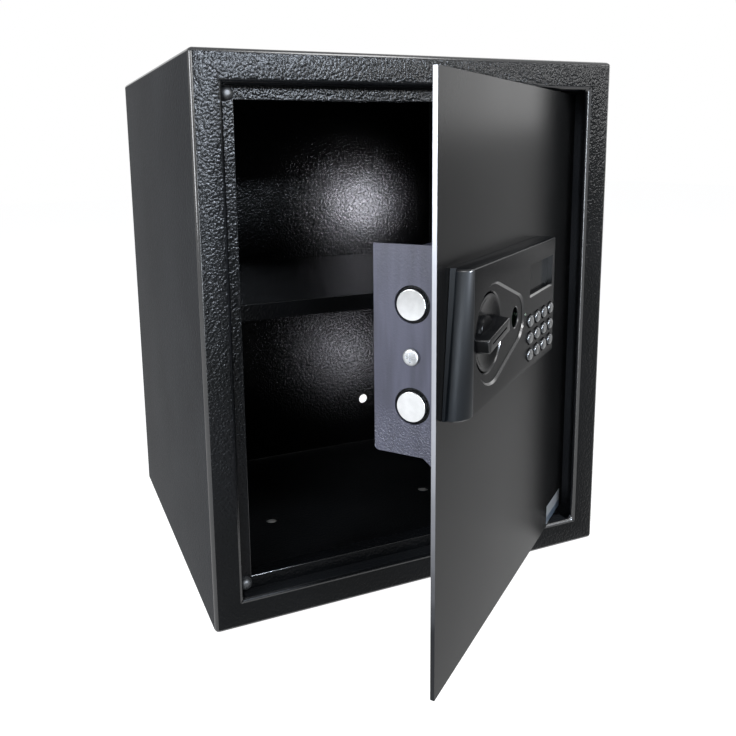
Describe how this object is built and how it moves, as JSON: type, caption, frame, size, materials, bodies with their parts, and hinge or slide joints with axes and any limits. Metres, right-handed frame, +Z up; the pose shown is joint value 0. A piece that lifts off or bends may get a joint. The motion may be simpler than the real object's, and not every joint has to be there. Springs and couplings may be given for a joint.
{
  "type": "electronic home safe",
  "caption": "Floor-standing steel safe with a right-hinged door, shelf, sliding locking bolts, turning knob, override key lock, display window and push-button keypad",
  "frame": {"origin": "middle of the underside of the base, on the surface that the safe stands on", "axes": "+Z up, +Y towards the back panel, +X to the right as seen from the front, where the door's hinges are"},
  "size_m": [0.38, 0.4992, 0.457],
  "materials": {
    "powder_coat": "fine textured black powder coat",
    "inner_coat": "fine textured black powder coat, inside",
    "door_coat": "smooth satin black paint",
    "housing_coat": "grey-black powder coat",
    "zinc": "zinc-plated steel",
    "chrome": "bright chrome plating",
    "brass": "turned brass",
    "abs_black": "fine matt black ABS",
    "window": "smoked display window",
    "lcd": "unlit LCD",
    "board": "green circuit board",
    "lamp": "unlit green LED",
    "rubber": "dark grey rubber",
    "cell": "plain cell jacket",
    "red_button": "red moulded button",
    "cable": "grey ribbon cable"
  },
  "bodies": {
    "cabinet": {"body_shell": "powder_coat", "door_stop_frame": "powder_coat", "back_panel": "inner_coat", "bumper_upper": "rubber", "bumper_lower": "rubber", "shelf_rail_left": "inner_coat", "shelf_rail_right": "inner_coat", "hinge_bracket_upper": "powder_coat", "hinge_bracket_lower": "powder_coat", "hinge_washer_upper": "zinc", "hinge_washer_lower": "zinc", "hinge_pin_upper": "zinc", "hinge_pin_lower": "zinc"},
    "door": {"hinge_arm_upper": "powder_coat", "hinge_arm_lower": "powder_coat", "bolt_guide": "powder_coat", "door_plate": "door_coat", "bolt_housing": "housing_coat", "housing_screw_1": "zinc", "housing_screw_2": "zinc", "housing_screw_3": "zinc", "housing_screw_4": "zinc", "solenoid": "zinc", "guide_screw": "chrome", "lock_cylinder": "chrome", "lock_panel": "abs_black", "battery_box": "abs_black", "display_window": "window", "display_module": "lcd", "keypad_board": "board", "status_light": "lamp", "battery_cell_1": "cell", "battery_cell_2": "cell", "battery_cell_3": "cell", "battery_cell_4": "cell", "signal_cable": "cable"},
    "shelf": {"shelf": "inner_coat"},
    "bolt_carriage": {"bolt_carrier": "zinc", "locking_bolt_upper": "chrome", "locking_bolt_lower": "chrome"},
    "knob": {"knob": "abs_black", "knob_shaft": "zinc"},
    "plunger": {"solenoid_plunger": "chrome"},
    "plug": {"cylinder_plug": "brass", "override_lever": "zinc"},
    "code_button": {"code_button": "red_button"},
    "battery_cover": {"battery_cover": "abs_black"},
    "key_1": {"key_1": "chrome"},
    "key_2": {"key_2": "chrome"},
    "key_3": {"key_3": "chrome"},
    "key_4": {"key_4": "chrome"},
    "key_5": {"key_5": "chrome"},
    "key_6": {"key_6": "chrome"},
    "key_7": {"key_7": "chrome"},
    "key_8": {"key_8": "chrome"},
    "key_9": {"key_9": "chrome"},
    "key_10": {"key_10": "chrome"},
    "key_11": {"key_11": "chrome"},
    "key_12": {"key_12": "chrome"}
  },
  "joints": [
    {"name": "door_hinge", "type": "hinge", "parent": "cabinet", "child": "door", "pos_m": [0.134, -0.129, 0.2285], "axis": [0, 0, 1], "range_deg": [-37.25, 52.75]},
    {"name": "bolt_slide", "type": "slide", "parent": "door", "child": "bolt_carriage", "axis": [-0.796, -0.6053, 0], "range_m": [0, 0.018]},
    {"name": "knob_turn", "type": "hinge", "parent": "door", "child": "knob", "pos_m": [-0.03179, -0.3116, 0.2645], "axis": [0.6053, -0.796, 0], "range_deg": [0, 90]},
    {"name": "plunger_slide", "type": "slide", "parent": "door", "child": "plunger", "axis": [0, 0, 1], "range_m": [0, 0.005]},
    {"name": "plug_turn", "type": "hinge", "parent": "door", "child": "plug", "pos_m": [0.00592, -0.26785, 0.2635], "axis": [-0.6053, 0.796, 0], "range_deg": [0, 90]},
    {"name": "code_button_press", "type": "slide", "parent": "door", "child": "code_button", "axis": [0.6053, -0.796, 0], "range_m": [0, 0.0015], "stiffness_N_per_m": 300, "springref_m": -0.001},
    {"name": "battery_cover_slide", "type": "slide", "parent": "door", "child": "battery_cover", "axis": [0.796, 0.6053, 0], "range_m": [0, 0.064]},
    {"name": "shelf_lift", "type": "slide", "parent": "cabinet", "child": "shelf", "axis": [0, 0, 1], "range_m": [0, 0.03]},
    {"name": "key_1_press", "type": "slide", "parent": "door", "child": "key_1", "axis": [-0.6053, 0.796, 0], "range_m": [0, 0.0009], "stiffness_N_per_m": 300, "springref_m": -0.001},
    {"name": "key_2_press", "type": "slide", "parent": "door", "child": "key_2", "axis": [-0.6053, 0.796, 0], "range_m": [0, 0.0009], "stiffness_N_per_m": 300, "springref_m": -0.001},
    {"name": "key_3_press", "type": "slide", "parent": "door", "child": "key_3", "axis": [-0.6053, 0.796, 0], "range_m": [0, 0.0009], "stiffness_N_per_m": 300, "springref_m": -0.001},
    {"name": "key_4_press", "type": "slide", "parent": "door", "child": "key_4", "axis": [-0.6053, 0.796, 0], "range_m": [0, 0.0009], "stiffness_N_per_m": 300, "springref_m": -0.001},
    {"name": "key_5_press", "type": "slide", "parent": "door", "child": "key_5", "axis": [-0.6053, 0.796, 0], "range_m": [0, 0.0009], "stiffness_N_per_m": 300, "springref_m": -0.001},
    {"name": "key_6_press", "type": "slide", "parent": "door", "child": "key_6", "axis": [-0.6053, 0.796, 0], "range_m": [0, 0.0009], "stiffness_N_per_m": 300, "springref_m": -0.001},
    {"name": "key_7_press", "type": "slide", "parent": "door", "child": "key_7", "axis": [-0.6053, 0.796, 0], "range_m": [0, 0.0009], "stiffness_N_per_m": 300, "springref_m": -0.001},
    {"name": "key_8_press", "type": "slide", "parent": "door", "child": "key_8", "axis": [-0.6053, 0.796, 0], "range_m": [0, 0.0009], "stiffness_N_per_m": 300, "springref_m": -0.001},
    {"name": "key_9_press", "type": "slide", "parent": "door", "child": "key_9", "axis": [-0.6053, 0.796, 0], "range_m": [0, 0.0009], "stiffness_N_per_m": 300, "springref_m": -0.001},
    {"name": "key_10_press", "type": "slide", "parent": "door", "child": "key_10", "axis": [-0.6053, 0.796, 0], "range_m": [0, 0.0009], "stiffness_N_per_m": 300, "springref_m": -0.001},
    {"name": "key_11_press", "type": "slide", "parent": "door", "child": "key_11", "axis": [-0.6053, 0.796, 0], "range_m": [0, 0.0009], "stiffness_N_per_m": 300, "springref_m": -0.001},
    {"name": "key_12_press", "type": "slide", "parent": "door", "child": "key_12", "axis": [-0.6053, 0.796, 0], "range_m": [0, 0.0009], "stiffness_N_per_m": 300, "springref_m": -0.001}
  ],
  "couplings": [
    {"joint": "knob_turn", "follows": "bolt_slide", "rad_per_m": 87.2},
    {"joint": "plunger_slide", "follows": "bolt_slide", "ratio": 0.2777}
  ]
}
